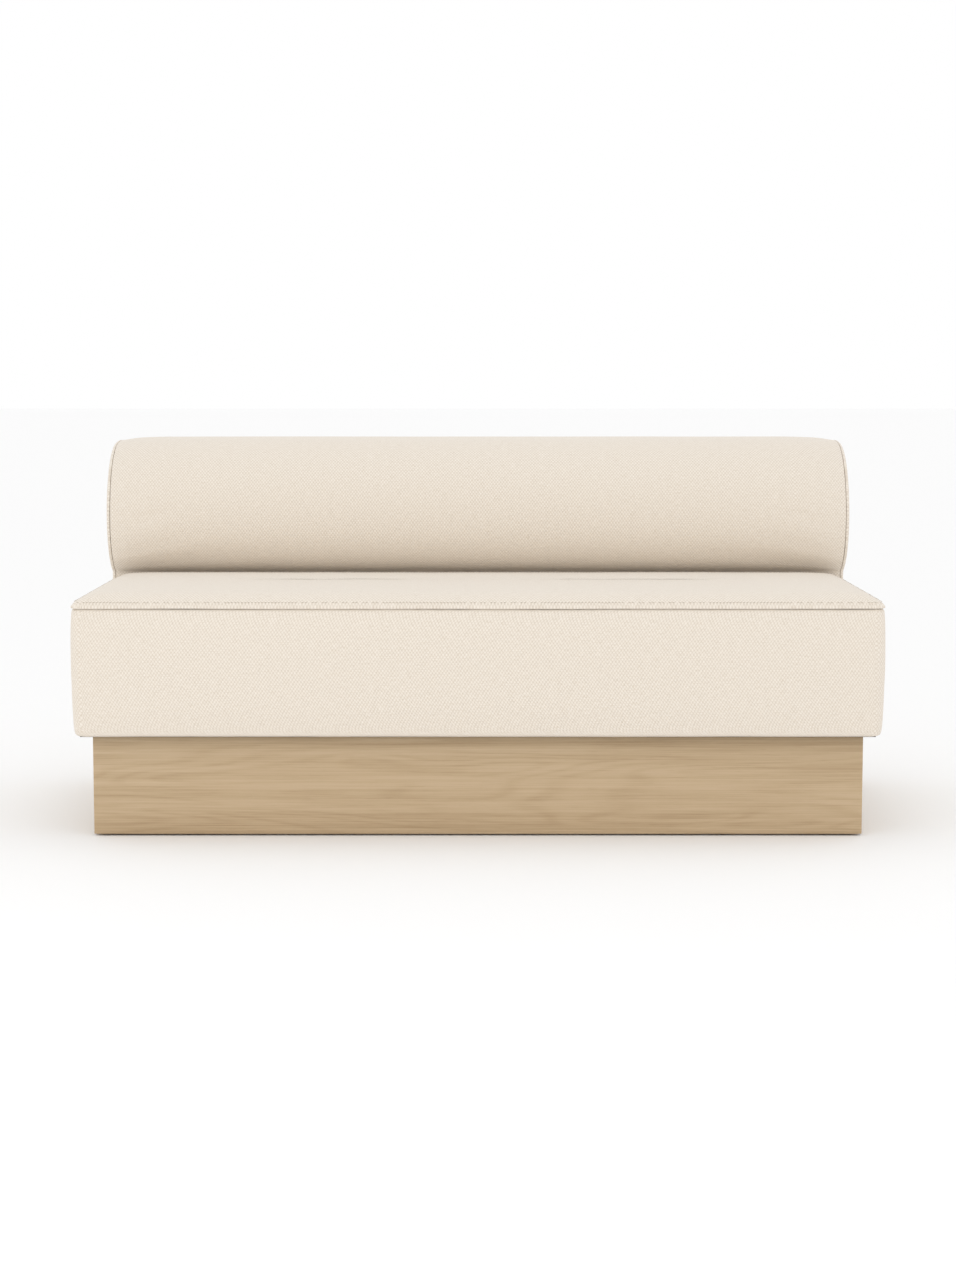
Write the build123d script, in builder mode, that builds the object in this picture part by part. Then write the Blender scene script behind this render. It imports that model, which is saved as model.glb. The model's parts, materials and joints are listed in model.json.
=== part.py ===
"""Dining sofa: an oak plinth, a deep upholstered seat block and a long rolled back, in millimetres.

The origin is on the floor under the middle of the sofa.
+X runs to the sitter's left, -Y is the front, +Z is up.
"""

import os
from math import atan2, cos, pi, radians, sin, sqrt

from build123d import *

os.makedirs("parts", exist_ok=True)

# Overall sizes
overall_width = 1650
overall_depth = 800
half_width = overall_width / 2
front_y = -overall_depth / 2
rear_y = overall_depth / 2

# Clearances
soft_clearance = 0.3  # between soft pieces and what they lie against
joint_clearance = 0.3  # between pieces that slip together
screw_clearance = 0.1  # round a screw or bolt in its hole

# Plinth
plinth_height = 204
plinth_setback = 38.5
plinth_panel_thickness = 18
plinth_arris = 0.8
cross_rail_thickness = 18
cross_rail_height = 150
batten_size = 30

# Levelling feet
foot_gap = 4  # the plinth's lower edge stands this far off the floor
pad_radius = 16
pad_height = 4.5
pad_edge = 1.2
pad_socket_depth = 2.5
stem_radius = 3.95
stem_spigot_radius = 3
stem_spigot_fit = 0.05
stem_hex_width = 13
stem_hex_height = 3.5
stem_thread_length = 44
stem_chamfer = 0.8
insert_bore_radius = 4
insert_outer_radius = 6
insert_length = 18
insert_flange_radius = 11
insert_flange_thickness = 1.5
foot_rest_clearance = 0.3  # between the hexagon and the insert's flange
block_size = 50
block_bore_radius = 5
block_bore_spare = 3  # bore left above the stem's tip

# Dust cover under the upholstery
dust_cover_thickness = 1
dust_cover_setback = 13

# Seat upholstery
seat_seam_height = 470
crown_height = 36
crown_reach = 220
side_bulge = 3
corner_radius = 18
corner_growth_share = 0.22
cover_thickness = 3
cover_turn_under = 60
seat_topper_thickness = 70
felt_thickness = 3

# Seat frame
frame_setback = 22
rail_thickness = 25
rail_height = 91
seat_cross_rail_height = 45
cross_rail_stagger = 30  # from the plinth's cross rails to the seat's
corner_block_length = 100
corner_block_width = 60
corner_block_height = 45

# Springs
spring_spacing = 136
spring_edge = 90  # from the side rails to the outer springs, at least
spring_wire_radius = 1.9
spring_width = 50
spring_bend_radius = 12
spring_bend_pitch = 25
spring_lead = 15  # straight wire between a clip's edge and the first bend, at least
clip_width = 22
clip_thickness = 1.2
clip_length = 20
clip_setback = 3  # from the rail's outer face
tie_wire_radius = 1.5
tie_wire_y = 90  # each side of the seat's middle

# Rolled back
back_neck_depth = 198  # from the neck's face to the flat rear
seat_to_back_gap = 0.5
roll_radius = 177
roll_centre_drop = 180  # from the top of the back
roll_centre_setback = 45  # from the middle of the rear corner's curve
crease_rise = 30  # from the seat's seam up to the crease between the roll and the neck
crease_drop = 120  # from the roll's centre down to that crease
roll_front_angle = 6.5  # degrees below level where the roll's front arc ends
rear_corner_radius = 65
end_pull = 9.5  # how much the roll is drawn in at its end seams
end_pull_reach = 125
end_seam_setin = 8
neck_cover_bottom = 330

# Back frame and padding
back_foam_thickness = 30
former_thickness = 4
rib_thickness = 18
back_floor_thickness = 18
back_front_rail_height = 70
back_top_rail_height = 60
back_top_rail_drop = 120
stringer_size = 40
stringer_setback = 18  # from the neck's face
stringer_drop = 10  # from the roll's centre

# Fasteners
screw_radius = 3
screw_head_radius = 6
screw_head_height = 3
screw_length = 50
screw_setin = 83  # from the inner face of the seat's side rails
bolt_radius = 4
bolt_head_radius = 7
bolt_head_height = 5
bolt_tail = 2  # thread standing past the nut
bolt_setin = 225  # from the sofa's ends
bolt_drop = 45  # from the top of the seat's rail
spacer_radius = 9
washer_radius = 12
washer_thickness = 1.5
nut_width = 13
nut_height = 6.5
frame_screw_radius = 2.5
frame_screw_head_radius = 4.5
frame_screw_head_height = 2.5
frame_screw_length = 65
frame_screw_edge = 22

# Heights and faces that follow from the sizes above
neck_y = rear_y - back_neck_depth
seat_depth = neck_y - seat_to_back_gap - front_y
apex_y = rear_y - rear_corner_radius
roll_centre_y = apex_y - roll_centre_setback
neck_height = seat_seam_height + crease_rise
roll_centre_height = neck_height + crease_drop
overall_height = roll_centre_height + roll_centre_drop
stringer_y = neck_y + stringer_setback
stringer_height = roll_centre_height - stringer_drop
plinth_top = foot_gap + plinth_height
plinth_half_x = half_width - plinth_setback
plinth_half_y = overall_depth / 2 - plinth_setback
plinth_inner_x = plinth_half_x - plinth_panel_thickness
plinth_inner_y = plinth_half_y - plinth_panel_thickness
cross_rail_x = plinth_inner_x / 3
seat_cross_rail_x = cross_rail_x - cross_rail_stagger
batten_bottom = plinth_top - batten_size
batten_y = plinth_inner_y - batten_size / 2
screw_tip = batten_bottom + screw_length
flange_bottom = pad_height + stem_hex_height + foot_rest_clearance
block_bottom = flange_bottom + insert_flange_thickness
block_x = plinth_inner_x - block_size / 2
block_y = plinth_inner_y - block_size / 2
cover_bottom = plinth_top + dust_cover_thickness
soft_inset = cover_thickness + soft_clearance
frame_bottom = cover_bottom + soft_inset
rail_top = frame_bottom + rail_height
seat_middle_y = front_y + seat_depth / 2
frame_half_x = half_width - frame_setback
frame_front = front_y + frame_setback
frame_rear = front_y + seat_depth - frame_setback
wire_height = rail_top + clip_thickness + spring_wire_radius
tie_height = wire_height + spring_wire_radius + tie_wire_radius
felt_bottom = tie_height + tie_wire_radius + soft_clearance
felt_top = felt_bottom + felt_thickness
topper_bottom = seat_seam_height + crown_height - seat_topper_thickness
rib_inset = back_foam_thickness + former_thickness + joint_clearance
rib_front_y = neck_y + rib_inset
rib_rear_y = rear_y - rib_inset
end_rib_x = frame_half_x - rib_thickness / 2
rib_x = end_rib_x / 2
back_floor_top = frame_bottom + back_floor_thickness
back_rail_front = rib_front_y - rail_thickness
rear_seam_height = overall_height - rear_corner_radius
bolt_height = rail_top - bolt_drop
bolt_x = half_width - bolt_setin
bolt_xs = (-bolt_x, -bolt_x / 3, bolt_x / 3, bolt_x)
screw_x = frame_half_x - rail_thickness - screw_setin
screw_xs = (-screw_x, -seat_cross_rail_x, seat_cross_rail_x, screw_x)

left_right = {"left": 1, "right": -1}
front_rear = {"front": -1, "rear": 1}

# The seat's side wall from its underside to the seam: height share, and inset as a share of side_bulge
wall_shares = [
    (0, 3.6),
    (0.012, 2.2),
    (0.035, 1.4),
    (0.08, 0.95),
    (0.35, 0.3),
    (0.65, 0),
    (0.88, 0.3),
    (1, 1),
]

# The top panel from the seam to the flat of the crown: inset as a share of crown_reach, then height as a share
# of crown_height
crown_shares = [
    (0.0136, 0),
    (0.0045, 0.07),
    (0.0055, 0.17),
    (0.0155, 0.29),
    (0.045, 0.45),
    (0.114, 0.66),
    (0.214, 0.8),
    (0.418, 0.9),
    (0.727, 0.965),
    (1, 1),
]

# The roll's end: distance from the end as a share of end_pull_reach, then the shares of end_pull by which
# the roll and the neck's edges are drawn in there
end_shares = [
    (1, 0, 0),
    (0.6, 0.12, 0),
    (0.36, 0.3, 0),
    (0.152, 0.73, 0),
    (0.064, 1, 0),
    (0.024, 1.2, 0.2),
    (0, 2, 0.85),
]


def finish(part, name):
    """Labels a finished piece and writes its file."""
    part.label = name
    export_step(part, f"parts/{name}.step")


def block(x, y, z, mode=Mode.ADD):
    """A box between two x, two y and two z values."""
    with Locations(((x[0] + x[1]) / 2, (y[0] + y[1]) / 2, (z[0] + z[1]) / 2)):
        Box(x[1] - x[0], y[1] - y[0], z[1] - z[0], mode=mode)


def upright(centres, radius, bottom, top, mode=Mode.ADD):
    """Round bars or holes standing at (x, y) centres."""
    with Locations([(x, y, bottom) for x, y in centres]):
        Cylinder(radius, top - bottom, align=(Align.CENTER, Align.CENTER, Align.MIN), mode=mode)


def level(centres, radius, front, rear, mode=Mode.ADD):
    """Round bars or holes along Y at (x, z) centres."""
    with Locations([Location((x, front, z), (-90, 0, 0)) for x, z in centres]):
        Cylinder(radius, rear - front, align=(Align.CENTER, Align.CENTER, Align.MIN), mode=mode)


def moved_in(points, distance):
    """A chain of (inset, height) points moved inwards, square to the chain, by a distance."""
    moved = []
    for index, (inset, height) in enumerate(points):
        before = points[max(index - 1, 0)]
        after = points[min(index + 1, len(points) - 1)]
        along = (after[0] - before[0], after[1] - before[1])
        length = sqrt(along[0] ** 2 + along[1] ** 2)
        moved.append((inset + distance * along[1] / length, height - distance * along[0] / length))
    return moved


def seat_form(inset):
    """The seat's upholstered block, moved in by an inset from the cover's outer face."""
    wall_height = seat_seam_height - cover_bottom
    wall = [(share * side_bulge, cover_bottom + rise * wall_height) for rise, share in wall_shares]
    crown = [(share * crown_reach, seat_seam_height + rise * crown_height) for share, rise in crown_shares]
    if inset > 0:
        wall = [(point[0] + inset, point[1]) for point in wall if point[1] > cover_bottom + 2 * inset]
        wall.insert(0, (wall_shares[0][1] * side_bulge + inset, cover_bottom + inset))
        crown = moved_in(crown[2:], inset)
        crown.insert(0, wall[-1])
    with BuildPart() as form:
        for points in (wall, crown):
            for section_in, height in points:
                with BuildSketch(Plane.XY.offset(height)):
                    with Locations((0, seat_middle_y)):
                        RectangleRounded(
                            overall_width - 2 * section_in,
                            seat_depth - 2 * section_in,
                            corner_radius + corner_growth_share * section_in,
                        )
            loft(ruled=True)
    return form.part


def back_form(inset, runs, floor):
    """The back's side profile lofted along X through runs of (x, roll drawn in, edges drawn in) sections."""
    turn = 2 * atan2(overall_height - roll_centre_height - roll_radius, apex_y - roll_centre_y)
    low = radians(roll_front_angle)
    with BuildPart() as form:
        for run in runs:
            for x, roll_pull, edge_pull in run:
                roll_in = inset + roll_pull
                edge_in = inset + edge_pull
                radius = roll_radius - roll_in
                top_radius = radius + (apex_y - roll_centre_y) / sin(turn)
                front = (roll_centre_y - radius * cos(low), roll_centre_height - radius * sin(low))
                shoulder = (roll_centre_y - radius * cos(pi / 4), roll_centre_height + radius * sin(pi / 4))
                crest = (roll_centre_y - radius * sin(turn), roll_centre_height + radius * cos(turn))
                apex = (apex_y, overall_height - roll_in)
                crown = (apex_y - top_radius * sin(turn / 2), apex[1] - top_radius * (1 - cos(turn / 2)))
                corner = (
                    apex_y + (rear_corner_radius - edge_in) * cos(pi / 4),
                    rear_seam_height + (rear_corner_radius - roll_in) * sin(pi / 4),
                )
                crease = (neck_y + edge_in, neck_height)
                rear_top = (rear_y - edge_in, rear_seam_height)
                with BuildSketch(Plane.YZ.offset(x)):
                    with BuildLine():
                        Line((neck_y + edge_in, floor), crease)
                        TangentArc(front, crease, tangent=(sin(low), -cos(low)))
                        ThreePointArc(front, shoulder, crest)
                        ThreePointArc(crest, crown, apex)
                        ThreePointArc(apex, corner, rear_top)
                        Line(rear_top, (rear_y - edge_in, floor))
                        Line((rear_y - edge_in, floor), (neck_y + edge_in, floor))
                    make_face()
            loft(ruled=True)
    return form.part


def padded_back(inset):
    """The whole back with its ends drawn in, moved in by an inset from the cover's outer face."""
    straight_half = half_width - end_pull_reach
    runs = [[(-straight_half, 0, 0), (straight_half, 0, 0)]]
    for side in left_right.values():
        run = []
        for share, roll_share, edge_share in end_shares:
            x = side * (half_width - inset - share * (end_pull_reach - inset))
            run.append((x, roll_share * end_pull, edge_share * end_pull))
        runs.append(run)
    return back_form(inset, runs, cover_bottom + inset)


def framed_back(inset, floor):
    """The straight core of the back between the outer faces of its end ribs, moved in by an inset."""
    return back_form(inset, [[(-frame_half_x, 0, 0), (frame_half_x, 0, 0)]], floor)


# Ranges that reach past everything, for cutting pieces apart
all_x = (-overall_width, overall_width)
all_y = (-overall_depth, overall_depth)
all_z = (-overall_height, 2 * overall_height)
below_seam = (-overall_height, seat_seam_height)
above_seam = (seat_seam_height, 2 * overall_height)
foot_places = {}
for end, end_sign in front_rear.items():
    for side, side_sign in left_right.items():
        foot_places[f"{end}_{side}"] = (side_sign * block_x, end_sign * block_y)

# Plinth panels, mitred at the corners, with a fine arris along their outer lower edges
for name, reach, across, turn in (
    ("plinth_front_panel", plinth_half_x, plinth_half_y, 0),
    ("plinth_left_panel", plinth_half_y, plinth_half_x, 90),
    ("plinth_rear_panel", plinth_half_x, plinth_half_y, 180),
    ("plinth_right_panel", plinth_half_y, plinth_half_x, 270),
):
    inner_reach = reach - plinth_panel_thickness
    inner_across = across - plinth_panel_thickness
    with BuildPart() as panel:
        with BuildSketch(Plane.XY.offset(foot_gap).rotated((0, 0, turn))):
            Polygon(
                (-reach, -across),
                (reach, -across),
                (inner_reach, -inner_across),
                (-inner_reach, -inner_across),
                align=None,
            )
        extrude(amount=plinth_height)
        lower_edges = panel.edges().group_by(Axis.Z)[0]
        chamfer(lower_edges.sort_by(Edge.length, reverse=True)[0], length=plinth_arris)
    finish(panel.part, name)

# Rails across the inside of the plinth, below the battens
with BuildPart() as plinth_cross_rails:
    for side in left_right.values():
        middle = side * cross_rail_x
        block(
            (middle - cross_rail_thickness / 2, middle + cross_rail_thickness / 2),
            (-plinth_inner_y, plinth_inner_y),
            (batten_bottom - cross_rail_height, batten_bottom),
        )
finish(plinth_cross_rails.part, "plinth_cross_rails")

# Battens along the plinth's front and rear panels, drilled for the screws that hold the upholstery down
with BuildPart() as plinth_battens:
    for end in front_rear.values():
        block(
            (-plinth_inner_x, plinth_inner_x),
            sorted((end * plinth_inner_y, end * (plinth_inner_y - batten_size))),
            (batten_bottom, plinth_top),
        )
    screw_places = [(x, end * batten_y) for x in screw_xs for end in front_rear.values()]
    upright(screw_places, screw_radius + screw_clearance, batten_bottom, plinth_top, Mode.SUBTRACT)
finish(plinth_battens.part, "plinth_battens")

# Corner posts of the plinth, bored for the levelling feet
stem_tip = pad_height + stem_hex_height + stem_thread_length
with BuildPart() as plinth_corner_posts:
    for x, y in foot_places.values():
        block(
            (x - block_size / 2, x + block_size / 2),
            (y - block_size / 2, y + block_size / 2),
            (block_bottom, batten_bottom),
        )
    centres = list(foot_places.values())
    insert_top = block_bottom + insert_length
    upright(centres, insert_outer_radius, block_bottom, insert_top, Mode.SUBTRACT)
    upright(centres, block_bore_radius, insert_top, stem_tip + block_bore_spare, Mode.SUBTRACT)
finish(plinth_corner_posts.part, "plinth_corner_posts")

# Threaded inserts pressed up into the posts
with BuildPart() as foot_inserts:
    upright(centres, insert_outer_radius, block_bottom, insert_top)
    upright(centres, insert_flange_radius, flange_bottom, block_bottom)
    upright(centres, insert_bore_radius, flange_bottom, insert_top, Mode.SUBTRACT)
finish(foot_inserts.part, "foot_inserts")

# Levelling feet: a threaded stem with a hexagon, standing in a round pad
spigot_bottom = pad_height - pad_socket_depth
for place, (x, y) in foot_places.items():
    with BuildPart() as foot_stem:
        upright([(x, y)], stem_spigot_radius, spigot_bottom, pad_height)
        with BuildSketch(Plane.XY.offset(pad_height)):
            with Locations((x, y)):
                RegularPolygon(stem_hex_width / 2, 6, major_radius=False)
        extrude(amount=stem_hex_height)
        upright([(x, y)], stem_radius, pad_height + stem_hex_height, stem_tip)
        chamfer(foot_stem.edges().group_by(Axis.Z)[-1], length=stem_chamfer)
    finish(foot_stem.part, f"foot_stem_{place}")

    with BuildPart() as foot_pad:
        upright([(x, y)], pad_radius, 0, pad_height)
        chamfer(foot_pad.edges().group_by(Axis.Z)[-1], length=pad_edge)
        upright([(x, y)], stem_spigot_radius + stem_spigot_fit, spigot_bottom, pad_height, Mode.SUBTRACT)
    finish(foot_pad.part, f"foot_pad_{place}")

# Dust cover stapled under the upholstery
dust_x = half_width - cover_thickness - dust_cover_setback
dust_y = overall_depth / 2 - cover_thickness - dust_cover_setback
with BuildPart() as dust_cover:
    block((-dust_x, dust_x), (-dust_y, dust_y), (plinth_top, cover_bottom))
    upright(screw_places, screw_radius + screw_clearance, plinth_top, cover_bottom, Mode.SUBTRACT)
finish(dust_cover.part, "dust_cover")

# Seat frame: front and rear rails across the whole width, side rails between them
joint_screw_heights = (frame_bottom + frame_screw_edge, rail_top - frame_screw_edge)
joint_screws = [
    (side * (frame_half_x - rail_thickness / 2), height)
    for side in left_right.values()
    for height in joint_screw_heights
]
bolt_places = [(x, bolt_height) for x in bolt_xs]
inner_front = frame_front + rail_thickness
inner_rear = frame_rear - rail_thickness
inner_x = frame_half_x - rail_thickness

with BuildPart() as seat_front_rail:
    block((-frame_half_x, frame_half_x), (frame_front, inner_front), (frame_bottom, rail_top))
    level(joint_screws, frame_screw_radius + screw_clearance, frame_front, inner_front, Mode.SUBTRACT)
    head_floor = frame_front + frame_screw_head_height
    level(joint_screws, frame_screw_head_radius + screw_clearance, frame_front, head_floor, Mode.SUBTRACT)
finish(seat_front_rail.part, "seat_front_rail")

with BuildPart() as seat_rear_rail:
    block((-frame_half_x, frame_half_x), (inner_rear, frame_rear), (frame_bottom, rail_top))
    level(joint_screws, frame_screw_radius + screw_clearance, inner_rear, frame_rear, Mode.SUBTRACT)
    head_floor = frame_rear - frame_screw_head_height
    level(joint_screws, frame_screw_head_radius + screw_clearance, head_floor, frame_rear, Mode.SUBTRACT)
    level(bolt_places, bolt_radius + screw_clearance, inner_rear, frame_rear, Mode.SUBTRACT)
finish(seat_rear_rail.part, "seat_rear_rail")

for name, side in left_right.items():
    with BuildPart() as side_rail:
        across = sorted((side * inner_x, side * frame_half_x))
        block(across, (inner_front, inner_rear), (frame_bottom, rail_top))
        level(joint_screws, frame_screw_radius + screw_clearance, inner_front, inner_rear, Mode.SUBTRACT)
    finish(side_rail.part, f"seat_{name}_rail")

with BuildPart() as seat_cross_rails:
    for side in left_right.values():
        middle = side * seat_cross_rail_x
        block(
            (middle - rail_thickness / 2, middle + rail_thickness / 2),
            (inner_front, inner_rear),
            (frame_bottom, frame_bottom + seat_cross_rail_height),
        )
    upright(screw_places, screw_radius + screw_clearance, frame_bottom, screw_tip, Mode.SUBTRACT)
finish(seat_cross_rails.part, "seat_cross_rails")

with BuildPart() as seat_corner_blocks:
    for side in left_right.values():
        across = sorted((side * inner_x, side * (inner_x - corner_block_length)))
        height = (frame_bottom, frame_bottom + corner_block_height)
        block(across, (inner_front, inner_front + corner_block_width), height)
        block(across, (inner_rear - corner_block_width, inner_rear), height)
    upright(screw_places, screw_radius + screw_clearance, frame_bottom, screw_tip, Mode.SUBTRACT)
finish(seat_corner_blocks.part, "seat_corner_blocks")

# Sinuous springs from the front rail to the rear rail, each one wire bent to and fro
spring_start = frame_front + rail_thickness / 2
spring_end = frame_rear - rail_thickness / 2
bend_count = int((spring_end - spring_start - 2 * spring_lead) / spring_bend_pitch)
first_bend_y = (spring_start + spring_end - bend_count * spring_bend_pitch) / 2
wire_points = [(0, spring_start), (0, first_bend_y)]
for index in range(bend_count):
    reach = spring_width / 2 if index % 2 else -spring_width / 2
    wire_points.append((reach, first_bend_y + index * spring_bend_pitch))
    wire_points.append((reach, first_bend_y + (index + 1) * spring_bend_pitch))
wire_points.append((0, first_bend_y + bend_count * spring_bend_pitch))
wire_points.append((0, spring_end))
with BuildPart() as spring:
    with BuildLine(Plane.XY.offset(wire_height)):
        FilletPolyline(*wire_points, radius=spring_bend_radius)
    with BuildSketch(Plane((0, spring_start, wire_height), x_dir=(1, 0, 0), z_dir=(0, 1, 0))):
        Circle(spring_wire_radius)
    sweep()
spring_count = int(2 * (inner_x - spring_edge) / spring_spacing) + 1
spring_xs = [(index - (spring_count - 1) / 2) * spring_spacing for index in range(spring_count)]
with BuildPart() as seat_springs:
    with Locations([(x, 0, 0) for x in spring_xs]):
        add(spring.part)
finish(seat_springs.part, "seat_springs")

# Steel clips that hold the springs' ends on the rails
clip_ceiling = wire_height + spring_wire_radius + clip_thickness
clip_ends = ((frame_front + clip_setback, 1), (frame_rear - clip_setback, -1))
with BuildPart() as spring_clips:
    for x in spring_xs:
        across = (x - clip_width / 2, x + clip_width / 2)
        for back_edge, inwards in clip_ends:
            along = sorted((back_edge, back_edge + inwards * clip_length))
            block(across, along, (rail_top, rail_top + clip_thickness))
            block(across, along, (clip_ceiling - clip_thickness, clip_ceiling))
            fold = sorted((back_edge, back_edge + inwards * clip_thickness))
            block(across, fold, (rail_top, clip_ceiling))
finish(spring_clips.part, "spring_clips")

# Wires that tie the springs together across the seat
with BuildPart() as spring_tie_wires:
    for sign in left_right.values():
        with Locations(Location((-inner_x, seat_middle_y + sign * tie_wire_y, tie_height), (0, 90, 0))):
            Cylinder(tie_wire_radius, 2 * inner_x, align=(Align.CENTER, Align.CENTER, Align.MIN))
finish(spring_tie_wires.part, "spring_tie_wires")

# Felt over the springs, then the firm foam core
frame_x = (-frame_half_x, frame_half_x)
frame_y = (frame_front, frame_rear)
with BuildPart() as spring_felt:
    block(frame_x, frame_y, (felt_bottom, felt_top))
finish(spring_felt.part, "spring_felt")

with BuildPart() as seat_foam_core:
    block(frame_x, frame_y, (felt_top, topper_bottom))
finish(seat_foam_core.part, "seat_foam_core")

# Soft pieces of the seat: a crowned topper, and border foam round the frame and the core
seat_filling = seat_form(soft_inset)
with BuildPart() as seat_topper:
    add(seat_filling)
    block(all_x, all_y, (topper_bottom, above_seam[1]), Mode.INTERSECT)
finish(seat_topper.part, "seat_topper")

with BuildPart() as seat_border_padding:
    add(seat_filling)
    block(all_x, all_y, (frame_bottom, topper_bottom), Mode.INTERSECT)
    block(frame_x, frame_y, (frame_bottom, topper_bottom), Mode.SUBTRACT)
    level(bolt_places, spacer_radius + joint_clearance, frame_rear, neck_y, Mode.SUBTRACT)
finish(seat_border_padding.part, "seat_border_padding")

# Seat cover: top panel, a band round the front and sides, and a rear band, turned under the frame
with BuildPart() as seat_cover:
    add(seat_form(0))
    add(seat_form(cover_thickness), mode=Mode.SUBTRACT)
    block(
        (-half_width + cover_turn_under, half_width - cover_turn_under),
        (front_y + cover_turn_under, front_y + seat_depth - cover_turn_under),
        (cover_bottom, frame_bottom),
        Mode.SUBTRACT,
    )
rear_band_y = front_y + seat_depth - corner_radius

with BuildPart() as seat_top_cover:
    add(seat_cover.part)
    block(all_x, all_y, above_seam, Mode.INTERSECT)
finish(seat_top_cover.part, "seat_top_cover")

with BuildPart() as seat_front_band:
    add(seat_cover.part)
    block(all_x, (all_y[0], rear_band_y), below_seam, Mode.INTERSECT)
finish(seat_front_band.part, "seat_front_band")

with BuildPart() as seat_rear_band:
    add(seat_cover.part)
    block(all_x, (rear_band_y, all_y[1]), below_seam, Mode.INTERSECT)
    level(bolt_places, spacer_radius + joint_clearance, frame_rear, neck_y, Mode.SUBTRACT)
finish(seat_rear_band.part, "seat_rear_band")

# Back frame: floor board, plywood ribs cut to the roll's profile, and the rails that join them
back_floor_y = (back_rail_front, rib_rear_y)
with BuildPart() as back_floor_board:
    block(frame_x, back_floor_y, (frame_bottom, back_floor_top))
    upright(screw_places, screw_radius + screw_clearance, frame_bottom, screw_tip, Mode.SUBTRACT)
finish(back_floor_board.part, "back_floor_board")

rib_inner_x = end_rib_x - rib_thickness / 2
rail_z = (overall_height - back_top_rail_drop - back_top_rail_height, overall_height - back_top_rail_drop)
rail_y = (rib_rear_y - rail_thickness, rib_rear_y)
stringer_ys = (stringer_y - stringer_size / 2, stringer_y + stringer_size / 2)
stringer_zs = (stringer_height - stringer_size / 2, stringer_height + stringer_size / 2)
rib_blank = framed_back(rib_inset, back_floor_top)

for name, side in left_right.items():
    with BuildPart() as end_rib:
        add(rib_blank)
        block(sorted((side * rib_inner_x, side * frame_half_x)), all_y, all_z, Mode.INTERSECT)
    finish(end_rib.part, f"back_{name}_end_rib")

with BuildPart() as back_middle_ribs:
    for x in (-rib_x, 0, rib_x):
        block((x - rib_thickness / 2, x + rib_thickness / 2), all_y, all_z)
    add(rib_blank, mode=Mode.INTERSECT)
    block(
        all_x,
        (rail_y[0] - joint_clearance, all_y[1]),
        (rail_z[0] - joint_clearance, rail_z[1] + joint_clearance),
        Mode.SUBTRACT,
    )
    block(
        all_x,
        (stringer_ys[0] - joint_clearance, stringer_ys[1] + joint_clearance),
        (stringer_zs[0] - joint_clearance, stringer_zs[1] + joint_clearance),
        Mode.SUBTRACT,
    )
finish(back_middle_ribs.part, "back_middle_ribs")

with BuildPart() as back_top_rail:
    block((-rib_inner_x, rib_inner_x), rail_y, rail_z)
finish(back_top_rail.part, "back_top_rail")

with BuildPart() as back_stringer:
    block((-rib_inner_x, rib_inner_x), stringer_ys, stringer_zs)
finish(back_stringer.part, "back_stringer")

with BuildPart() as back_front_rail:
    block(frame_x, (back_rail_front, rib_front_y), (back_floor_top, back_floor_top + back_front_rail_height))
    level(bolt_places, bolt_radius + screw_clearance, back_rail_front, rib_front_y, Mode.SUBTRACT)
finish(back_front_rail.part, "back_front_rail")

# A thin skin over the ribs: bent over the roll as the former, flat down the rear as the back board
inner_back_y = (rib_front_y + rib_thickness, all_y[1])
below_rear_seam = (all_z[0], rear_seam_height)
with BuildPart() as rib_skin:
    add(framed_back(back_foam_thickness, frame_bottom))
    add(framed_back(back_foam_thickness + former_thickness, cover_bottom), mode=Mode.SUBTRACT)

with BuildPart() as back_former:
    add(rib_skin.part)
    block(all_x, inner_back_y, below_rear_seam, Mode.SUBTRACT)
    block(all_x, all_y, (all_z[0], neck_cover_bottom), Mode.SUBTRACT)
finish(back_former.part, "back_former")

with BuildPart() as back_board:
    add(rib_skin.part)
    block(all_x, inner_back_y, below_rear_seam, Mode.INTERSECT)
finish(back_board.part, "back_board")

# Soft pieces of the back: foam over the roll, a rear pad and a pad on each end
with BuildPart() as back_padding:
    add(padded_back(soft_inset))
    add(framed_back(back_foam_thickness, cover_bottom), mode=Mode.SUBTRACT)

with BuildPart() as back_roll_foam:
    add(back_padding.part)
    block(frame_x, all_y, (neck_cover_bottom, all_z[1]), Mode.INTERSECT)
    block(all_x, inner_back_y, below_rear_seam, Mode.SUBTRACT)
finish(back_roll_foam.part, "back_roll_foam")

with BuildPart() as back_rear_padding:
    add(back_padding.part)
    block(frame_x, inner_back_y, below_rear_seam, Mode.INTERSECT)
finish(back_rear_padding.part, "back_rear_padding")

for name, side in left_right.items():
    with BuildPart() as end_padding:
        add(back_padding.part)
        block(sorted((side * frame_half_x, side * overall_width)), all_y, all_z, Mode.INTERSECT)
    finish(end_padding.part, f"back_{name}_end_padding")

# Back cover: a panel over the roll, a flat rear panel and an end panel let in at each end
with BuildPart() as back_cover:
    add(padded_back(0))
    add(padded_back(cover_thickness), mode=Mode.SUBTRACT)
    block(
        (-half_width + cover_turn_under, half_width - cover_turn_under),
        (all_y[0], rear_y - cover_turn_under),
        (cover_bottom, frame_bottom),
        Mode.SUBTRACT,
    )
end_seam_x = half_width - end_seam_setin
between_seams = (-end_seam_x, end_seam_x)

with BuildPart() as back_roll_cover:
    add(back_cover.part)
    block(between_seams, all_y, (neck_cover_bottom, all_z[1]), Mode.INTERSECT)
    block(all_x, inner_back_y, below_rear_seam, Mode.SUBTRACT)
finish(back_roll_cover.part, "back_roll_cover")

with BuildPart() as back_rear_cover:
    add(back_cover.part)
    block(between_seams, inner_back_y, below_rear_seam, Mode.INTERSECT)
finish(back_rear_cover.part, "back_rear_cover")

for name, side in left_right.items():
    with BuildPart() as end_cover:
        add(back_cover.part)
        block(sorted((side * end_seam_x, side * overall_width)), all_y, all_z, Mode.INTERSECT)
    finish(end_cover.part, f"back_{name}_end_cover")

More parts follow.
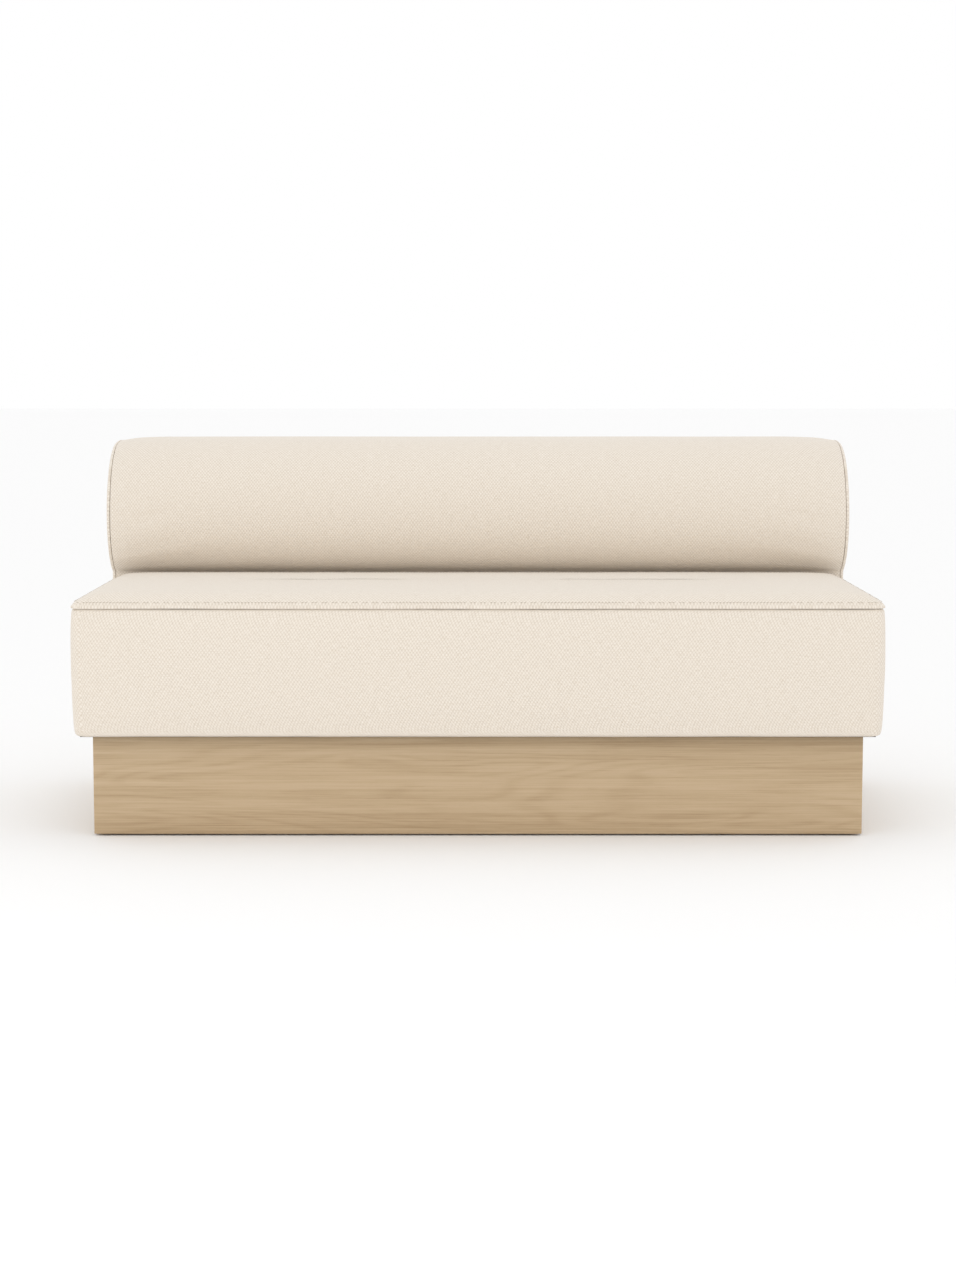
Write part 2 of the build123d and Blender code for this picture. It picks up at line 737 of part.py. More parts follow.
# Screws up through the battens into the frame
with BuildPart() as plinth_screws:
    upright(screw_places, screw_head_radius, batten_bottom - screw_head_height, batten_bottom)
    upright(screw_places, screw_radius, batten_bottom, screw_tip)
finish(plinth_screws.part, "plinth_screws")

# Screws through the front and rear rails into the side rails
with BuildPart() as frame_screws:
    level(joint_screws, frame_screw_head_radius, frame_front, frame_front + frame_screw_head_height)
    level(joint_screws, frame_screw_radius, frame_front, frame_front + frame_screw_length)
    level(joint_screws, frame_screw_head_radius, frame_rear - frame_screw_head_height, frame_rear)
    level(joint_screws, frame_screw_radius, frame_rear - frame_screw_length, frame_rear)
finish(frame_screws.part, "frame_screws")

# Bolts, with washers, spacers and nuts, that join the back to the seat's rear rail
nut_front = rib_front_y + washer_thickness
with BuildPart() as back_bolts:
    head_rear = inner_rear - washer_thickness
    level(bolt_places, bolt_head_radius, head_rear - bolt_head_height, head_rear)
    level(bolt_places, bolt_radius, head_rear, nut_front + nut_height + bolt_tail)
finish(back_bolts.part, "back_bolts")

with BuildPart() as bolt_washers:
    level(bolt_places, washer_radius, inner_rear - washer_thickness, inner_rear)
    level(bolt_places, washer_radius, rib_front_y, nut_front)
    level(bolt_places, bolt_radius + screw_clearance, inner_rear - washer_thickness, nut_front, Mode.SUBTRACT)
finish(bolt_washers.part, "bolt_washers")

with BuildPart() as bolt_spacers:
    level(bolt_places, spacer_radius, frame_rear, back_rail_front)
    level(bolt_places, bolt_radius + screw_clearance, frame_rear, back_rail_front, Mode.SUBTRACT)
finish(bolt_spacers.part, "bolt_spacers")

with BuildPart() as bolt_nuts:
    for x, height in bolt_places:
        with BuildSketch(Plane((x, nut_front, height), x_dir=(1, 0, 0), z_dir=(0, 1, 0))):
            RegularPolygon(nut_width / 2, 6, major_radius=False)
            Circle(bolt_radius + screw_clearance, mode=Mode.SUBTRACT)
    extrude(amount=nut_height)
finish(bolt_nuts.part, "bolt_nuts")
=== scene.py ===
import json
from math import atan2, cos, hypot, pi, radians, sin

import bmesh
import bpy
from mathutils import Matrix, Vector, noise


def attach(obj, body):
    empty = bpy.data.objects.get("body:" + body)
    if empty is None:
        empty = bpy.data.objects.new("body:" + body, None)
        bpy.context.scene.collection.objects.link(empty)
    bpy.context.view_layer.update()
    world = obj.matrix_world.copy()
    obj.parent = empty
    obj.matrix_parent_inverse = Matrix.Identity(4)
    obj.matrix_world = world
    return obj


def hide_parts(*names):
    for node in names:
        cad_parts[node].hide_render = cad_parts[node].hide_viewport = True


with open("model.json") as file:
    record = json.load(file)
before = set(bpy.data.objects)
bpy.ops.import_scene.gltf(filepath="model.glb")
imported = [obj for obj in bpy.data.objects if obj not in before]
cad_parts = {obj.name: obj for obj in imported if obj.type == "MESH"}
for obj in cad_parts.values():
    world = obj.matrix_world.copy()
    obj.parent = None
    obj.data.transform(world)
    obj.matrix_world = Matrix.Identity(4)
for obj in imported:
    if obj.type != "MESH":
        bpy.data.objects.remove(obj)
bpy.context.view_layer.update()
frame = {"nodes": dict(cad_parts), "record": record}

mm = 0.001
sofa = {"width": 1650, "depth": 800, "height": 800, "under": 209}
frontY = -sofa["depth"] / 2
rearY = sofa["depth"] / 2
halfWidth = sofa["width"] / 2


def newObject(name, mesh, body="sofa"):
    obj = bpy.data.objects.new(name, mesh)
    bpy.context.scene.collection.objects.link(obj)
    if body:
        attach(obj, body)
    return obj


# Camera at the photograph's angle
view = {"place": (0, -5.374, 0.9447), "pitch": 6.1, "lens": 70}
cameraData = bpy.data.cameras.new("photo_camera")
cameraData.lens = view["lens"]
camera = bpy.data.objects.new("photo_camera", cameraData)
camera.location = view["place"]
camera.rotation_euler = (radians(90 - view["pitch"]), 0, 0)
bpy.context.scene.collection.objects.link(camera)
bpy.context.scene.camera = camera
print("camera placed")


# Nodes shared by the finishes
def newFinish(name, roughness, metallic=0.0, sheen=0.0):
    material = bpy.data.materials.new(name)
    material.use_nodes = True
    shader = material.node_tree.nodes["Principled BSDF"]
    shader.inputs["Roughness"].default_value = roughness
    shader.inputs["Metallic"].default_value = metallic
    shader.inputs["Sheen Weight"].default_value = sheen
    shader.inputs["Specular IOR Level"].default_value = 0.25
    return material, shader


def addNode(material, kind, inputs=None, **settings):
    node = material.node_tree.nodes.new(kind)
    for key, value in settings.items():
        setattr(node, key, value)
    for key, value in (inputs or {}).items():
        if isinstance(value, bpy.types.NodeSocket):
            material.node_tree.links.new(value, node.inputs[key])
        else:
            node.inputs[key].default_value = value
    return node


def sums(material, operation, first, second=0.0, third=0.0):
    return addNode(material, "ShaderNodeMath", {0: first, 1: second, 2: third}, operation=operation).outputs[0]


def ramp(material, value, stops):
    node = addNode(material, "ShaderNodeValToRGB", {"Fac": value})
    while len(node.color_ramp.elements) < len(stops):
        node.color_ramp.elements.new(0.5)
    for element, (place, colour) in zip(node.color_ramp.elements, stops):
        element.position = place
        element.color = (*colour, 1)
    return node.outputs["Color"]


def stretchedNoise(material, coords, stretch, detail=3.0, distortion=0.0):
    place = addNode(material, "ShaderNodeMapping", {"Vector": coords, "Scale": stretch}).outputs[0]
    settings = {"Vector": place, "Scale": 1.0, "Detail": detail, "Distortion": distortion}
    return addNode(material, "ShaderNodeTexNoise", settings).outputs["Fac"]


def bumped(material, shader, height, distance, strength=1.0):
    settings = {"Height": height, "Distance": distance, "Strength": strength}
    material.node_tree.links.new(addNode(material, "ShaderNodeBump", settings).outputs[0], shader.inputs["Normal"])


# Cream pebble weave: staggered plump picks, uneven from pick to pick; the colour follows pick height, with painted
# shade in the hollows between picks and painted highlight on their raised tops
weave = {"across": 6.7 * mm, "along": 4.6 * mm, "pickHeight": 0.9 * mm, "wander": 0.0011, "slubStretch": (60, 420, 1)}
weaveShadow = (0.624, 0.539, 0.437)
weaveBody = (0.807, 0.733, 0.639)
weaveLight = (0.895, 0.831, 0.746)


def weaveFinish():
    material, shader = newFinish("cream_pebble_weave", 0.92, sheen=0.25)
    shader.inputs["Sheen Roughness"].default_value = 0.6
    coords = addNode(material, "ShaderNodeTexCoord").outputs["UV"]
    settings = {"Vector": coords, "Scale": 55.0, "Detail": 2.0}
    wander = addNode(material, "ShaderNodeTexNoise", settings).outputs["Color"]
    settings = {0: wander, 1: (0.5, 0.5, 0.5)}
    offset = addNode(material, "ShaderNodeVectorMath", settings, operation="SUBTRACT").outputs[0]
    settings = {0: offset, "Scale": 2 * weave["wander"]}
    offset = addNode(material, "ShaderNodeVectorMath", settings, operation="SCALE").outputs[0]
    placed = addNode(material, "ShaderNodeVectorMath", {0: coords, 1: offset}, operation="ADD").outputs[0]
    split = addNode(material, "ShaderNodeSeparateXYZ", {0: placed})
    across = sums(material, "MULTIPLY", split.outputs[0], pi / weave["across"])
    along = sums(material, "MULTIPLY", split.outputs[1], pi / (2 * weave["along"]))
    rising = sums(material, "ABSOLUTE", sums(material, "SINE", sums(material, "ADD", across, along)))
    falling = sums(material, "ABSOLUTE", sums(material, "SINE", sums(material, "SUBTRACT", across, along)))
    pick = sums(material, "POWER", sums(material, "MULTIPLY", rising, falling), 0.8)
    cell = addNode(material, "ShaderNodeTexNoise", {"Vector": coords, "Scale": 210.0, "Detail": 1.0}).outputs["Fac"]
    slub = stretchedNoise(material, coords, weave["slubStretch"], 2.0)
    yarn = addNode(material, "ShaderNodeTexNoise", {"Vector": coords, "Scale": 1500.0, "Detail": 2.0}).outputs["Fac"]
    uneven = sums(material, "MULTIPLY_ADD", cell, 0.9, 0.1)
    height = sums(material, "MULTIPLY", pick, uneven)
    # tone from pick height is painted shade between the picks and painted highlight on their tops; the slub noise adds
    # the yarn's own uneven tone
    tone = sums(material, "MULTIPLY_ADD", slub, 0.35, sums(material, "MULTIPLY_ADD", height, 0.8, 0.02))
    colour = ramp(material, tone, [(0.08, weaveShadow), (0.42, weaveBody), (0.80, weaveLight)])
    material.node_tree.links.new(colour, shader.inputs["Base Color"])
    fuzz = sums(material, "MULTIPLY_ADD", yarn, 0.12, height)
    bumped(material, shader, fuzz, weave["pickHeight"], 0.55)
    return material


# Pale oak veneer: long fine grain, soft bands, arched figure and short pores
oak = {"fine": (3.5, 700), "hair": (14, 1900), "band": (0.45, 34), "figure": (0.9, 9.0), "pore": (26, 1500)}
heartwood = {"streak": 0.093, "streakHalf": 0.0022, "foot": 0.024, "footTop": 0.036, "wobble": 0.014}
oakDark = (0.376, 0.259, 0.145)
oakBody = (0.534, 0.398, 0.249)
oakLight = (0.629, 0.490, 0.330)


def oakFinish(name, alongY):
    material, shader = newFinish(name, 0.62)
    coords = addNode(material, "ShaderNodeTexCoord").outputs["Object"]
    turn = {"Vector": coords, "Rotation": (0, 0, pi / 2 if alongY else 0), "Location": (3.7 if alongY else 0, 0, 0)}
    coords = addNode(material, "ShaderNodeMapping", turn).outputs[0]

    def grain(key, detail, distortion=0.0):
        along, across = oak[key]
        return stretchedNoise(material, coords, (along, along, across), detail, distortion)

    fine = grain("fine", 4.0)
    hair = grain("hair", 2.0)
    band = grain("band", 3.0, 0.15)
    figure = grain("figure", 2.0, 0.5)
    arches = sums(material, "ABSOLUTE", sums(material, "SINE", sums(material, "MULTIPLY", figure, 46.0)))
    arches = sums(material, "POWER", arches, 4.0)
    pore = sums(material, "GREATER_THAN", grain("pore", 1.0), 0.66)
    height = addNode(material, "ShaderNodeSeparateXYZ", {0: coords}).outputs[2]
    wobble = sums(material, "SUBTRACT", grain("figure", 1.0), 0.5)
    height = sums(material, "MULTIPLY_ADD", wobble, heartwood["wobble"], height)
    foot = {0: height, 1: heartwood["footTop"], 2: heartwood["foot"], 3: 0.0, 4: 1.0}
    foot = addNode(material, "ShaderNodeMapRange", foot, interpolation_type="SMOOTHSTEP").outputs[0]
    away = sums(material, "ABSOLUTE", sums(material, "SUBTRACT", height, heartwood["streak"]))
    streak = {0: away, 1: heartwood["streakHalf"], 2: 0.0, 3: 0.0, 4: 1.0}
    streak = addNode(material, "ShaderNodeMapRange", streak, interpolation_type="SMOOTHSTEP").outputs[0]
    tone = sums(material, "MULTIPLY_ADD", fine, 0.36, sums(material, "MULTIPLY", band, 0.46))
    tone = sums(material, "MULTIPLY_ADD", hair, 0.18, tone)
    tone = sums(material, "MULTIPLY_ADD", arches, -0.05, tone)
    tone = sums(material, "MULTIPLY_ADD", pore, -0.06, tone)
    tone = sums(material, "MULTIPLY_ADD", foot, -0.05, sums(material, "MULTIPLY_ADD", streak, -0.06, tone))
    colour = ramp(material, tone, [(0.28, oakDark), (0.50, oakBody), (0.72, oakLight)])
    material.node_tree.links.new(colour, shader.inputs["Base Color"])
    bumped(material, shader, sums(material, "MULTIPLY_ADD", pore, -0.6, fine), 0.15 * mm, 0.5)
    return material


# Plain stock inside the sofa: one noise for tone and tooth, stretched along its grain
stock = {
    "frame_timber": ((0.50, 0.34, 0.19), (0.70, 0.53, 0.34), (3, 90, 90), 0.75, 0.0),
    "frame_plywood": ((0.56, 0.40, 0.24), (0.74, 0.58, 0.40), (4, 60, 60), 0.7, 0.0),
    "foam": ((0.70, 0.63, 0.42), (0.86, 0.80, 0.60), (320, 320, 320), 0.95, 0.0),
    "felt": ((0.16, 0.16, 0.16), (0.42, 0.41, 0.40), (240, 240, 240), 0.95, 0.0),
    "dust_cloth": ((0.012, 0.012, 0.013), (0.035, 0.035, 0.037), (500, 500, 500), 0.9, 0.0),
    "spring_steel": ((0.22, 0.23, 0.25), (0.42, 0.43, 0.45), (60, 60, 60), 0.4, 1.0),
    "zinc_steel": ((0.48, 0.49, 0.50), (0.72, 0.73, 0.74), (90, 90, 90), 0.35, 1.0),
    "foot_nylon": ((0.015, 0.015, 0.016), (0.035, 0.035, 0.036), (400, 400, 400), 0.5, 0.0),
}


def stockFinish(name, dark, light, stretch, roughness, metallic):
    material, shader = newFinish(name, roughness, metallic)
    coords = addNode(material, "ShaderNodeTexCoord").outputs["Object"]
    tone = stretchedNoise(material, coords, stretch)
    colour = ramp(material, tone, [(0.3, dark), (0.7, light)])
    material.node_tree.links.new(colour, shader.inputs["Base Color"])
    bumped(material, shader, tone, 0.2 * mm, 0.4)
    return material


finishes = {name: stockFinish(name, *values) for name, values in stock.items()}
finishes["upholstery_weave"] = weaveFinish()
finishes["oak_veneer"] = oakFinish("oak_veneer_lengthways", False)
sideOak = oakFinish("oak_veneer_sideways", True)
for row in frame["record"]["subparts"]:
    node = frame["nodes"][row["node"]]
    finish = finishes[row["material_slot"]]
    if row["node"] in ("plinth_left_panel", "plinth_right_panel"):
        finish = sideOak
    node.data.materials.clear()
    node.data.materials.append(finish)
print("finishes made")


# Chains of points, rings and the skins through them
def smoothed(points, pieces):
    chain = []
    for index in range(len(points) - 1):
        a, b = Vector(points[index]), Vector(points[index + 1])
        before = Vector(points[max(index - 1, 0)])
        after = Vector(points[min(index + 2, len(points) - 1)])
        for step in range(pieces):
            t = step / pieces
            near = 0.5 * ((-before + 3 * a - 3 * b + after) * t**3 + (2 * before - 5 * a + 4 * b - after) * t**2)
            chain.append(near + 0.5 * (b - before) * t + a)
    chain.append(Vector(points[-1]))
    return chain


def skin(name, rings, uvs, capStart=True, capEnd=True):
    mesh = bpy.data.meshes.new(name)
    shape = bmesh.new()
    layer = shape.loops.layers.uv.new("weave")
    made = [[shape.verts.new(Vector(point) * mm) for point in ring] for ring in rings]
    count = len(rings[0])
    for row in range(len(rings) - 1):
        for j in range(count):
            k = (j + 1) % count
            face = shape.faces.new((made[row][j], made[row][k], made[row + 1][k], made[row + 1][j]))
            corners = (uvs[row][j], uvs[row][j + 1], uvs[row + 1][j + 1], uvs[row + 1][j])
            for loop, uv in zip(face.loops, corners):
                loop[layer].uv = (uv[0] * mm, uv[1] * mm)
    for wanted, row, order in ((capStart, 0, -1), (capEnd, len(rings) - 1, 1)):
        if wanted:
            face = shape.faces.new(made[row][::order])
            for loop, uv in zip(face.loops, uvs[row][:count][::order]):
                loop[layer].uv = (uv[0] * mm, uv[1] * mm)
    bmesh.ops.recalc_face_normals(shape, faces=shape.faces)
    for face in shape.faces:
        face.smooth = True
    shape.to_mesh(mesh)
    shape.free()
    piece = newObject(name, mesh)
    mesh.materials.append(finishes["upholstery_weave"])
    return piece


def handled(piece, amount, size):
    # Slow unevenness of a hand-pulled cover over foam, then one round of smoothing
    for vertex in piece.data.vertices:
        lift = noise.noise(vertex.co / size) + 0.5 * noise.noise(vertex.co / (size * 0.4) + Vector((5, 1, 3)))
        vertex.co += vertex.normal * lift * amount * mm
    rounds = piece.modifiers.new("Rounded", "SUBSURF")
    rounds.levels = rounds.render_levels = 1
    rounds.uv_smooth = "NONE"


def plumped(piece, held, cap):
    # Air pressure swells the cover a little between its seams; the seams stay put
    rest = [vertex.co.copy() for vertex in piece.data.vertices]
    pins = piece.vertex_groups.new(name="seams")
    pins.add(held, 1.0, "REPLACE")
    cloth = piece.modifiers.new("Cloth", "CLOTH")
    cloth.settings.quality = 2
    cloth.settings.mass = 0.4
    cloth.settings.tension_stiffness = 40
    cloth.settings.compression_stiffness = 40
    cloth.settings.bending_stiffness = 4
    cloth.settings.use_pressure = True
    cloth.settings.uniform_pressure_force = 4
    cloth.settings.vertex_group_mass = "seams"
    cloth.settings.effector_weights.gravity = 0
    for step in range(1, 21):
        bpy.context.scene.frame_set(step)
    swollen = piece.evaluated_get(bpy.context.evaluated_depsgraph_get()).data
    moved = [vertex.co.copy() for vertex in swollen.vertices]
    piece.modifiers.remove(cloth)
    piece.vertex_groups.remove(pins)
    bpy.context.scene.frame_set(1)
    for vertex, start, end in zip(piece.data.vertices, rest, moved):
        shift = end - start
        if shift.length > cap * mm:
            shift *= cap * mm / shift.length
        vertex.co = start + shift


# Seat: a boxed cushion with a crowned top, sewn round its upper edge
seat = {"depth": 601.5, "seam": 470, "crown": 36, "reach": 220, "bulge": 3, "corner": 18, "growth": 0.22,
        "groove": 2.6}
seatWallShares = [(0, 3.6), (0.012, 2.2), (0.035, 1.4), (0.08, 0.95), (0.2, 0.6), (0.35, 0.3), (0.5, 0.1), (0.65, 0),
                  (0.88, 0.3), (0.985, 0.8)]
seatCrownShares = [(0.0095, 0.02), (0.0045, 0.07), (0.0055, 0.17), (0.0155, 0.29), (0.045, 0.45), (0.114, 0.66),
                   (0.214, 0.8), (0.418, 0.9), (0.727, 0.965), (1, 1)]
seatMiddleY = frontY + seat["depth"] / 2


def roundedRing(inset, height, sideSteps=(80, 29), cornerSteps=7):
    halfX = halfWidth - inset
    halfY = seat["depth"] / 2 - inset
    radius = min(seat["corner"] + seat["growth"] * inset, halfX, halfY - 0.5)
    ring = []
    turns = (((1, -1), -90, sideSteps[1]), ((1, 1), 0, sideSteps[0]), ((-1, 1), 90, sideSteps[1]),
             ((-1, -1), 180, sideSteps[0]))
    for (sideX, sideY), start, steps in turns:
        middle = Vector((sideX * (halfX - radius), seatMiddleY + sideY * (halfY - radius)))
        for step in range(cornerSteps + 1):
            angle = radians(start + 90 * step / cornerSteps)
            ring.append((middle.x + radius * cos(angle), middle.y + radius * sin(angle), height))
        nextTurn = {(1, -1): (1, 1), (1, 1): (-1, 1), (-1, 1): (-1, -1), (-1, -1): (1, -1)}[(sideX, sideY)]
        middle = Vector((nextTurn[0] * (halfX - radius), seatMiddleY + nextTurn[1] * (halfY - radius)))
        angle = radians(start + 90)
        last = Vector(ring[-1][:2])
        end = Vector((middle.x + radius * cos(angle), middle.y + radius * sin(angle)))
        for step in range(1, steps):
            spot = last.lerp(end, step / steps)
            ring.append((spot.x, spot.y, height))
    return ring


def girth(ring):
    total = [0.0]
    for j in range(len(ring)):
        a, b = ring[j], ring[(j + 1) % len(ring)]
        total.append(total[-1] + hypot(b[0] - a[0], b[1] - a[1]))
    return total


wallRise = seat["seam"] - sofa["under"]
wallChain = smoothed([(share * seat["bulge"], sofa["under"] + rise * wallRise) for rise, share in seatWallShares], 4)
crownPoints = [(share * seat["reach"], seat["seam"] + rise * seat["crown"]) for share, rise in seatCrownShares]
crownChain = smoothed(crownPoints, 4)
underChain = [(60, sofa["under"] + 1.5), (30, sofa["under"] + 0.5)]
grooveChain = [(seat["bulge"] + seat["groove"], seat["seam"] + step) for step in (-0.4, 0.4)]
flatChain = [(inset, seat["seam"] + seat["crown"]) for inset in (250, 275, 296)]

bandChain = underChain + [tuple(point) for point in wallChain] + grooveChain[:1]
bandRings = [roundedRing(*point) for point in bandChain]
bandUvs = []
rise = 0.0
for index, ring in enumerate(bandRings):
    if index:
        rise += hypot(bandChain[index][0] - bandChain[index - 1][0], bandChain[index][1] - bandChain[index - 1][1])
    bandUvs.append([(u, rise) for u in girth(ring)])
seatBand = skin("seat_band_skin", bandRings, bandUvs, True, False)
held = len(bandRings[0])
topFrom = (len(bandRings) - 1) * held
plumped(seatBand, list(range(held * 8)) + list(range(topFrom - held, topFrom + held)), 3)
handled(seatBand, 0.5, 0.16)

topChain = grooveChain[1:] + [tuple(point) for point in crownChain] + flatChain
topRings = [roundedRing(*point) for point in topChain]
topUvs = [[(point[0], point[1]) for point in ring + ring[:1]] for ring in topRings]
seatTop = skin("seat_top_skin", topRings, topUvs, False, True)
topEnd = len(topRings) * held
plumped(seatTop, list(range(held * 8)) + list(range(topEnd - held * 4, topEnd)), 1.2)
handled(seatTop, 0.55, 0.2)
print("seat covered")

# Back: one cover over the roll between two end panels, each sewn in along the roll's edge
back = {"neckY": frontY + 602, "neck": 500, "radius": 177, "rollY": frontY + 690, "roll": 620, "frontAngle": 6.5,
        "apexY": frontY + 735, "rearCorner": 65, "pull": 9.5, "reach": 125, "seamIn": 8, "groove": 2.4}
endPullShares = [(1, 0, 0), (0.8, 0.04, 0), (0.6, 0.12, 0), (0.36, 0.3, 0), (0.152, 0.73, 0), (0.085, 0.93, 0),
                 (0.068, 1.0, 0)]
endLipShares = [(0.060, 1.0, 0.02), (0.045, 0.95, 0.0), (0.028, 1.02, 0.05), (0.012, 1.25, 0.25), (0.003, 1.6, 0.6),
                (0, 2.1, 1.1)]


def arcPoints(first, middle, last, steps):
    ax, ay, bx, by, cx, cy = *first, *middle, *last
    d = 2 * (ax * (by - cy) + bx * (cy - ay) + cx * (ay - by))
    ux = ((ax**2 + ay**2) * (by - cy) + (bx**2 + by**2) * (cy - ay) + (cx**2 + cy**2) * (ay - by)) / d
    uy = ((ax**2 + ay**2) * (cx - bx) + (bx**2 + by**2) * (ax - cx) + (cx**2 + cy**2) * (bx - ax)) / d
    start, end, radius = atan2(ay - uy, ax - ux), atan2(cy - uy, cx - ux), hypot(ax - ux, ay - uy)
    via = atan2(by - uy, bx - ux)
    sweep = (end - start) % (2 * pi)
    if (via - start) % (2 * pi) > sweep:
        sweep -= 2 * pi
    return [(ux + radius * cos(start + sweep * i / steps), uy + radius * sin(start + sweep * i / steps))
            for i in range(steps)]


def linePoints(first, last, steps):
    return [(first[0] + (last[0] - first[0]) * i / steps, first[1] + (last[1] - first[1]) * i / steps)
            for i in range(steps)]


def backRing(x, rollIn, edgeIn, floorIn=0.0):
    turn = 2 * atan2(sofa["height"] - back["roll"] - back["radius"], back["apexY"] - back["rollY"])
    low = radians(back["frontAngle"])
    radius = back["radius"] - rollIn
    topRadius = radius + (back["apexY"] - back["rollY"]) / sin(turn)
    front = (back["rollY"] - radius * cos(low), back["roll"] - radius * sin(low))
    shoulder = (back["rollY"] - radius * cos(pi / 4), back["roll"] + radius * sin(pi / 4))
    crest = (back["rollY"] - radius * sin(turn), back["roll"] + radius * cos(turn))
    apex = (back["apexY"], sofa["height"] - rollIn)
    crown = (back["apexY"] - topRadius * sin(turn / 2), apex[1] - topRadius * (1 - cos(turn / 2)))
    seamZ = sofa["height"] - back["rearCorner"]
    corner = (back["apexY"] + (back["rearCorner"] - edgeIn) * cos(pi / 4),
              seamZ + (back["rearCorner"] - rollIn) * sin(pi / 4))
    crease = (back["neckY"] + edgeIn, back["neck"])
    chord = (crease[0] - front[0], crease[1] - front[1])
    length = hypot(*chord)
    half = atan2(chord[1], chord[0]) - atan2(-cos(low), sin(low))
    bow = length / 2 * (1 - cos(half)) / sin(half)
    under = ((front[0] + crease[0]) / 2 + chord[1] / length * bow, (front[1] + crease[1]) / 2 - chord[0] / length * bow)
    foot = sofa["under"] + floorIn
    rear = rearY - edgeIn
    outline = linePoints((crease[0], foot), crease, 26)
    outline += arcPoints(crease, under, front, 20)
    outline += arcPoints(front, shoulder, crest, 44)
    outline += arcPoints(crest, crown, apex, 8)
    outline += arcPoints(apex, corner, (rear, seamZ), 14)
    outline += linePoints((rear, seamZ), (rear, foot), 48)
    outline += linePoints((rear, foot), (crease[0], foot), 16)
    return [(x, y, z) for y, z in outline]


def profileLengths(ring):
    total = [0.0]
    for j in range(len(ring)):
        a, b = ring[j], ring[(j + 1) % len(ring)]
        total.append(total[-1] + hypot(b[1] - a[1], b[2] - a[2]))
    return total


endChain = [(halfWidth - share * back["reach"], roll * back["pull"], edge * back["pull"])
            for share, roll, edge in endPullShares]
endChain = [tuple(point) for point in smoothed(endChain, 3)]
endChain.append((halfWidth - back["seamIn"], back["pull"] + back["groove"], back["groove"]))
steps = 76
flatX = halfWidth - back["reach"]
straight = [(-flatX + 2 * flatX * index / steps, 0, 0) for index in range(1, steps)]
mirrored = [(-x, roll, edge) for x, roll, edge in reversed(endChain)]
stations = mirrored + straight + endChain
backRings = [backRing(*station) for station in stations]
lengths = profileLengths(backRing(0, 0, 0))
backUvs = [[(station[0], v) for v in lengths] for station in stations]
backSkin = skin("back_roll_skin", backRings, backUvs)
held = len(backRings[0])
last = len(stations) * held
plumped(backSkin, list(range(held * 3)) + list(range(last - held * 3, last)), 1.2)
handled(backSkin, 0.5, 0.2)

for side, sign in (("left", 1), ("right", -1)):
    chain = [(halfWidth - back["seamIn"] + 0.6, back["pull"] + back["groove"], back["groove"])]
    lip = [(halfWidth - share * back["reach"], roll * back["pull"], edge * back["pull"])
           for share, roll, edge in endLipShares]
    chain += [tuple(point) for point in smoothed(lip, 3)]
    chain += [(halfWidth + crownOut, inset, inset - 9) for crownOut, inset in ((0.6, 26), (1.0, 36), (1.3, 48))]
    endRings = [backRing(sign * x, roll, edge, edge) for x, roll, edge in chain]
    endUvs = [[(point[1], point[2]) for point in ring + ring[:1]] for ring in endRings]
    endPanel = skin(f"back_end_skin_{side}", endRings, endUvs)
    handled(endPanel, 0.35, 0.12)
    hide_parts(f"back_{side}_end_cover", f"back_{side}_end_padding")
print("back covered")

# Top-stitching just above the seat's seam, sunk a little into the cover
stitch = {"length": 5.2, "gap": 1.6, "thick": 0.75, "inset": 6.2, "height": 483.4}
threadFinish = stockFinish("cream_thread", (0.50, 0.45, 0.37), (0.66, 0.60, 0.50), (900, 900, 900), 0.8, 0.0)


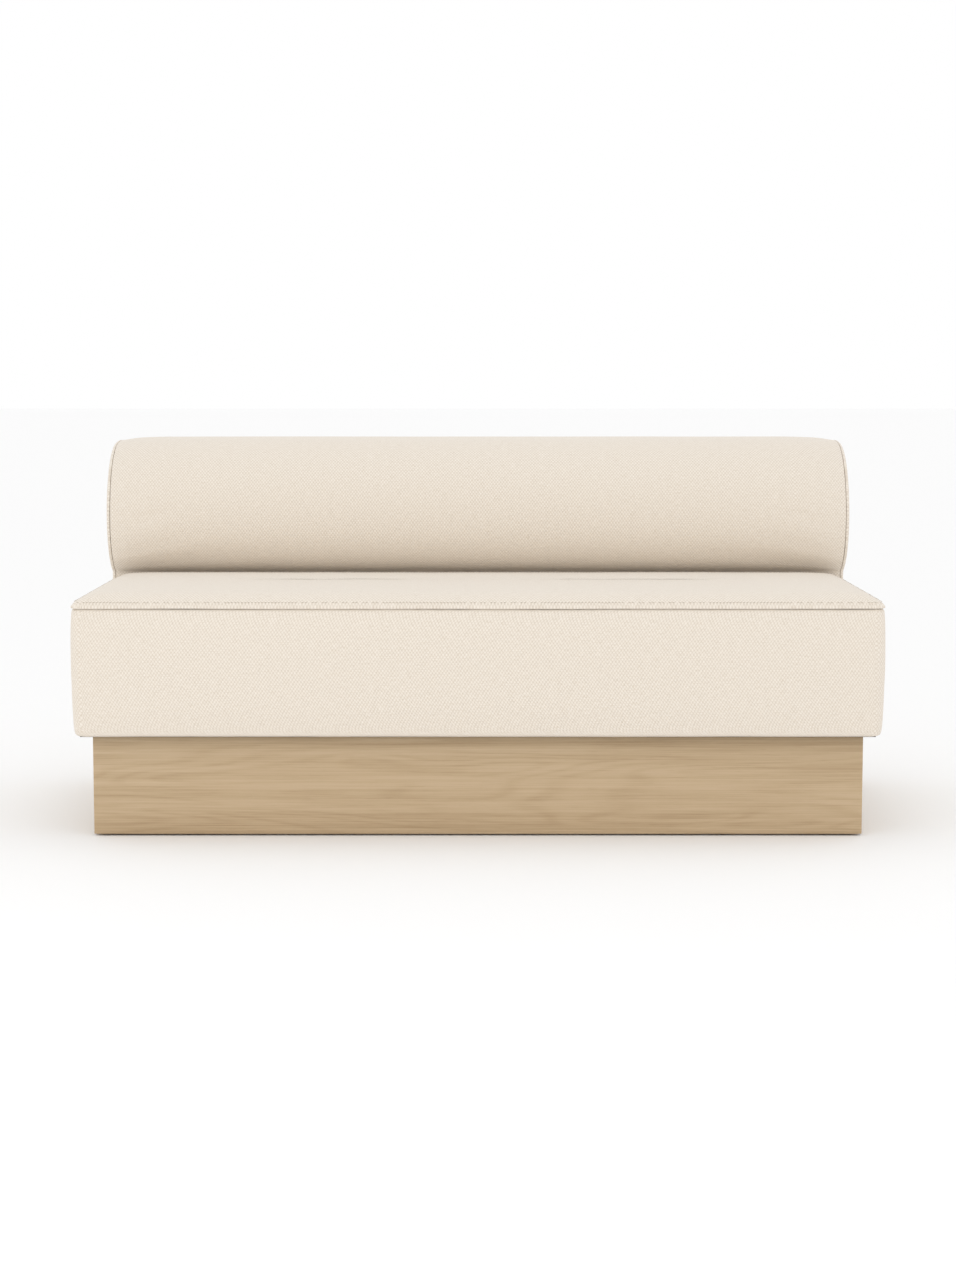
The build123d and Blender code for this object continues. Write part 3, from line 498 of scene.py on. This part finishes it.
def stitchLine(name, path):
    mesh = bpy.data.meshes.new(name)
    shape = bmesh.new()
    distance = 0.0
    for a, b in zip(path, path[1:] + path[:1]):
        start, end = Vector(a), Vector(b)
        span = (end - start).length
        while distance < span:
            if distance + stitch["length"] <= span + stitch["gap"]:
                along = (end - start).normalized()
                middle = start + along * (distance + stitch["length"] / 2)
                bar = bmesh.ops.create_icosphere(shape, subdivisions=1, radius=1)["verts"]
                for vertex in bar:
                    x, y, z = vertex.co
                    out = along.cross(Vector((0, 0, 1)))
                    spot = middle + along * x * stitch["length"] / 2 + out * y * stitch["thick"]
                    vertex.co = (spot + Vector((0, 0, z * stitch["thick"]))) * mm
            distance += stitch["length"] + stitch["gap"]
        distance -= span
    shape.to_mesh(mesh)
    shape.free()
    mesh.materials.append(threadFinish)
    for face in mesh.polygons:
        face.use_smooth = True
    return newObject(name, mesh)


thread = stitchLine("seat_top_stitching", roundedRing(stitch["inset"], stitch["height"]))
print("stitching sewn")

for piece, nodes, fill in (
    (seatBand, ("seat_front_band", "seat_rear_band", "seat_border_padding"), 0.95),
    (seatTop, ("seat_top_cover", "seat_topper"), 0.9),
    (backSkin, ("back_roll_cover", "back_rear_cover", "back_roll_foam", "back_rear_padding"), 0.95),
):
    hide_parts(*nodes)

# Floor, sky and soft studio light
studio = {"floorColour": (0.97, 0.97, 0.97, 1), "skyStrength": 1.0, "overhead": 2, "key": 16, "fill": 2}
floorMesh = bpy.data.meshes.new("studio_floor")
reach = 60
floorCorners = [(-reach, -reach, 0), (reach, -reach, 0), (reach, reach, 0), (-reach, reach, 0)]
floorMesh.from_pydata(floorCorners, [], [(0, 1, 2, 3)])
floor = newObject("studio_floor", floorMesh, None)
floorFinish, floorShader = newFinish("studio_paper", 0.95)
floorShader.inputs["Base Color"].default_value = studio["floorColour"]
floorMesh.materials.append(floorFinish)


def softLight(name, place, target, size, power):
    data = bpy.data.lights.new(name, "AREA")
    data.shape = "RECTANGLE"
    data.size, data.size_y = size
    data.energy = power
    light = bpy.data.objects.new(name, data)
    light.location = place
    light.rotation_euler = (Vector(target) - Vector(place)).to_track_quat("-Z", "Y").to_euler()
    bpy.context.scene.collection.objects.link(light)


softLight("overhead_light", (0, -0.4, 3.2), (0, 0, 0.4), (4.5, 3.0), studio["overhead"])
softLight("key_light", (-1.2, -4.2, 1.0), (0, 0, 0.5), (3.0, 1.6), studio["key"])
softLight("fill_light", (3.0, -3.0, 1.4), (0, 0, 0.4), (2.5, 2.5), studio["fill"])
world = bpy.data.worlds.new("studio_sky")
world.use_nodes = True
world.node_tree.nodes["Background"].inputs["Color"].default_value = (1, 1, 1, 1)
world.node_tree.nodes["Background"].inputs["Strength"].default_value = studio["skyStrength"]
bpy.context.scene.world = world
bpy.context.scene.view_settings.view_transform = "Standard"
print("studio lit")
